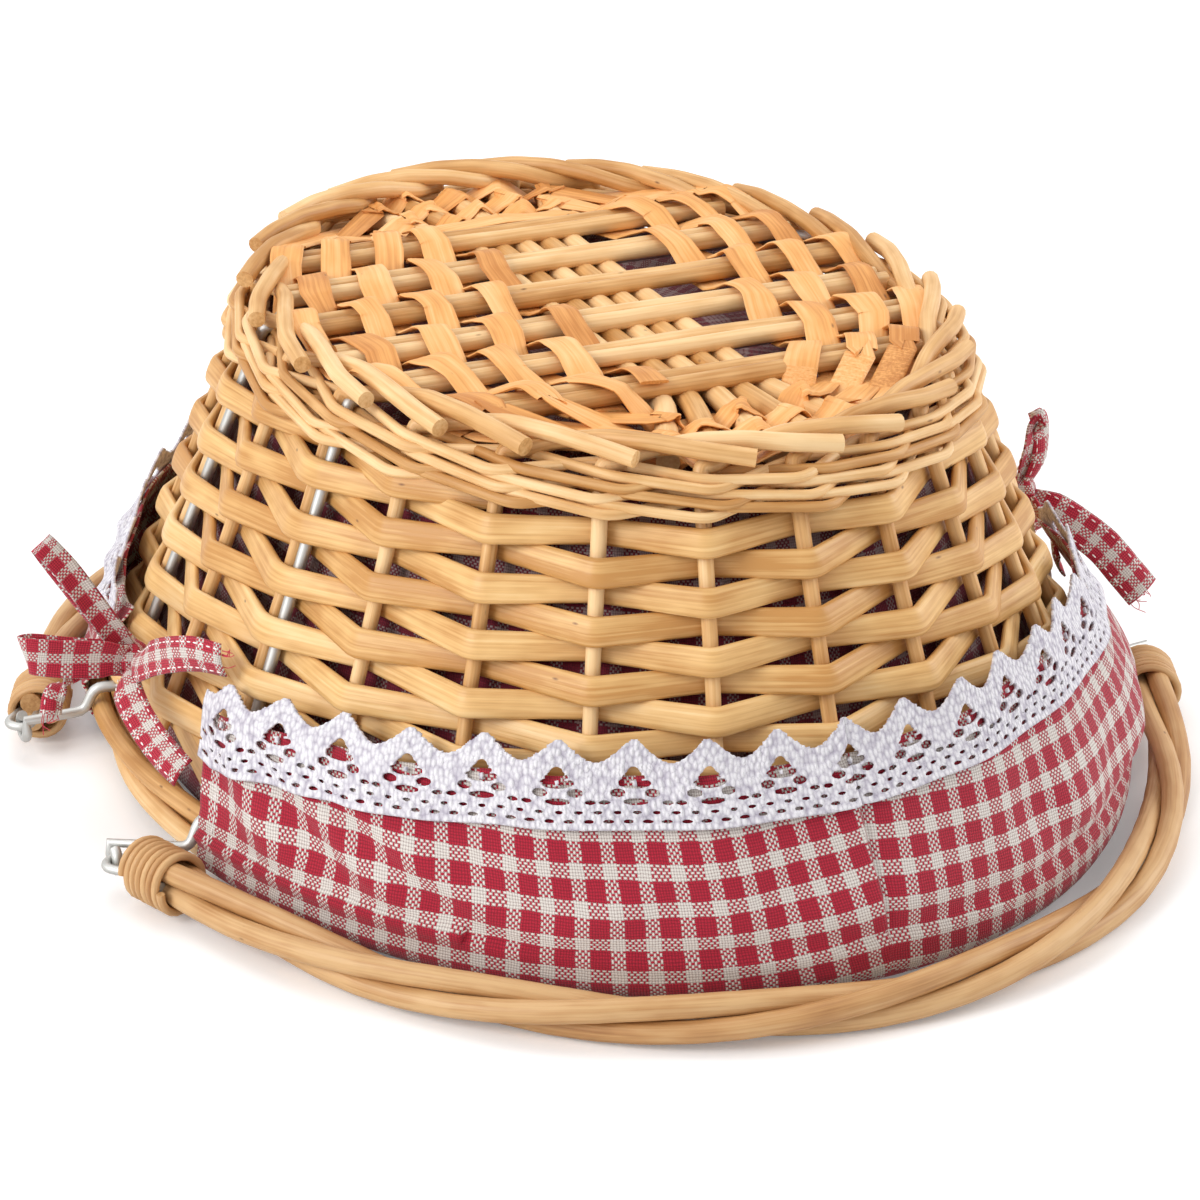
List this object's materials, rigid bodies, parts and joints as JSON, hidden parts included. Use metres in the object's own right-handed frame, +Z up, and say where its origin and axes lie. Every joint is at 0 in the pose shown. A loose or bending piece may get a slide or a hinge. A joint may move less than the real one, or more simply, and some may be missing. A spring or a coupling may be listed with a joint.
{
  "type": "pie basket",
  "caption": "Oval willow basket stored mouth down, with a woven base, gingham lining and skirt, lace edging, ribbon bows and two folding twisted handles.",
  "frame": {"origin": "on the surface it stands on, under the middle of the basket", "axes": "+Z up through the base, with the mouth down as pictured; +Y along the longer side of the oval, towards the rear handle; +X along the hinge lines"},
  "size_m": [0.3812, 0.4534, 0.1564],
  "materials": {
    "buff_willow": "peeled buff willow, satin",
    "split_willow": "flat split willow, satin",
    "steel_wire": "galvanised wire, dull",
    "gingham_cotton": "red and off-white checked plain weave",
    "lace_cotton": "crocheted cotton, matt",
    "ribbon": "red ribbon with a stitched hem"
  },
  "bodies": {
    "basket": {"base_sticks": "buff_willow", "base_weaver_1": "split_willow", "base_weaver_2": "split_willow", "base_weaver_3": "split_willow", "base_weaver_4": "split_willow", "bow_left": "ribbon", "bow_right": "ribbon", "foot_wale": "buff_willow", "hinge_wire_front": "steel_wire", "hinge_wire_rear": "steel_wire", "lace_front": "lace_cotton", "lace_rear": "lace_cotton", "lining": "gingham_cotton", "rim_rod_1": "buff_willow", "rim_rod_2": "buff_willow", "rim_rod_3": "buff_willow", "side_weaver_a1": "buff_willow", "side_weaver_a2": "buff_willow", "side_weaver_b1": "buff_willow", "side_weaver_b2": "buff_willow", "skirt_front": "gingham_cotton", "skirt_rear": "gingham_cotton", "stake_01": "buff_willow", "stake_02": "buff_willow", "stake_03": "buff_willow", "stake_04": "buff_willow", "stake_05": "buff_willow", "stake_06": "buff_willow", "stake_07": "buff_willow", "stake_08": "buff_willow", "stake_09": "buff_willow", "stake_10": "buff_willow", "stake_11": "buff_willow", "stake_12": "buff_willow", "stake_13": "buff_willow", "stake_14": "buff_willow", "stake_15": "buff_willow", "stake_16": "buff_willow", "stake_17": "buff_willow", "stake_18": "buff_willow", "stake_19": "buff_willow", "stake_20": "buff_willow", "stake_21": "buff_willow", "stake_22": "buff_willow", "stake_23": "buff_willow", "stake_24": "buff_willow"},
    "front_handle": {"front_handle_core": "steel_wire", "front_handle_rod_1": "buff_willow", "front_handle_rod_2": "buff_willow", "front_handle_rod_3": "buff_willow", "front_handle_binding_left": "buff_willow", "front_handle_binding_right": "buff_willow"},
    "rear_handle": {"rear_handle_core": "steel_wire", "rear_handle_rod_1": "buff_willow", "rear_handle_rod_2": "buff_willow", "rear_handle_rod_3": "buff_willow", "rear_handle_binding_left": "buff_willow", "rear_handle_binding_right": "buff_willow"}
  },
  "joints": [
    {"name": "front_handle_fold", "type": "hinge", "parent": "basket", "child": "front_handle", "pos_m": [0, -0.05114, 0.01198], "axis": [1, 0, 0], "range_deg": [0, 102]},
    {"name": "rear_handle_fold", "type": "hinge", "parent": "basket", "child": "rear_handle", "pos_m": [0, 0.05114, 0.01198], "axis": [-1, 0, 0], "range_deg": [0, 102]}
  ]
}
